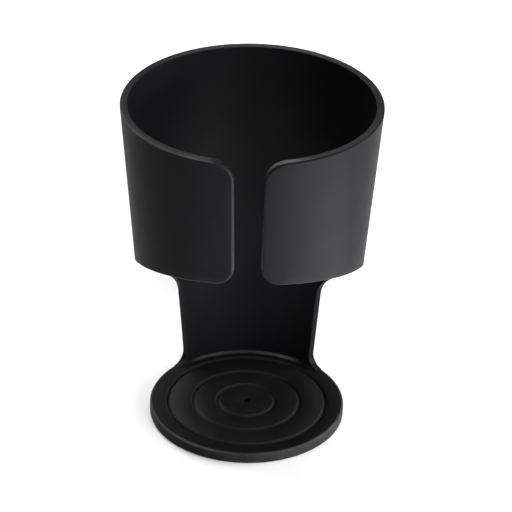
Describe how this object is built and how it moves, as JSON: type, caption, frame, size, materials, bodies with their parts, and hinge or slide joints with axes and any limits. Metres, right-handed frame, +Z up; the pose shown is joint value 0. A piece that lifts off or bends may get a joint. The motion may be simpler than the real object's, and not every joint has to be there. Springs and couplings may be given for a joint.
{
  "type": "desk clamp cup holder",
  "caption": "Tapered open-front cup holder on a round base, carried by a swivelling screw clamp for a desktop edge.",
  "frame": {"origin": "centre of the round base's underside, which stands on a table when the clamp isn't used", "axes": "+Z up along the cup's axis, -Y to the front through the slot between the collar's lips, +Y to the rear where the desk clamp is, +X to the right as seen from the front"},
  "size_m": [0.095, 0.1568, 0.1318],
  "materials": {
    "moulded_plastic": "satin black moulding",
    "mat_rubber": "matte black rubber",
    "clamp_paint": "fine black powder coat",
    "pad_rubber": "matte dark grey rubber",
    "knob_plastic": "grained black plastic",
    "cap_plastic": "smooth black plastic",
    "bush_plastic": "natural nylon",
    "steel": "zinc-plated steel",
    "black_steel": "black oxide steel",
    "brass": "machined brass"
  },
  "bodies": {
    "holder": {"cup_shell": "moulded_plastic", "base_mat": "mat_rubber", "leaf_inserts": "brass", "hinge_leaf": "clamp_paint", "leaf_screws": "black_steel", "swivel_bushes": "bush_plastic"},
    "clamp": {"clamp_frame": "clamp_paint", "jaw_pad": "pad_rubber", "edge_pad": "pad_rubber", "thread_bush": "brass", "pivot_bolt": "steel", "thrust_washer": "steel", "disc_springs": "steel", "pivot_nut": "steel", "pivot_cap": "cap_plastic"},
    "foot": {"pressure_foot": "steel", "foot_pad": "pad_rubber", "ball_ring": "steel"},
    "screw": {"clamp_screw": "steel", "knob": "knob_plastic", "knob_nut": "brass", "knob_cap": "cap_plastic"}
  },
  "joints": [
    {"name": "holder_swivel", "type": "hinge", "parent": "holder", "child": "clamp", "pos_m": [0, 0.0595, 0.066], "axis": [0, 0, 1], "range_deg": [-45, 45]},
    {"name": "foot_slide", "type": "slide", "parent": "clamp", "child": "foot", "axis": [0, 0, 1], "range_m": [-0.0075, 0.0135]},
    {"name": "screw_turn", "type": "hinge", "parent": "foot", "child": "screw", "pos_m": [0, 0.093, 0.02], "axis": [0, 0, 1], "range_deg": [-2161, 3889]}
  ],
  "couplings": [
    {"joint": "screw_turn", "follows": "foot_slide", "rad_per_m": 5026.5}
  ]
}
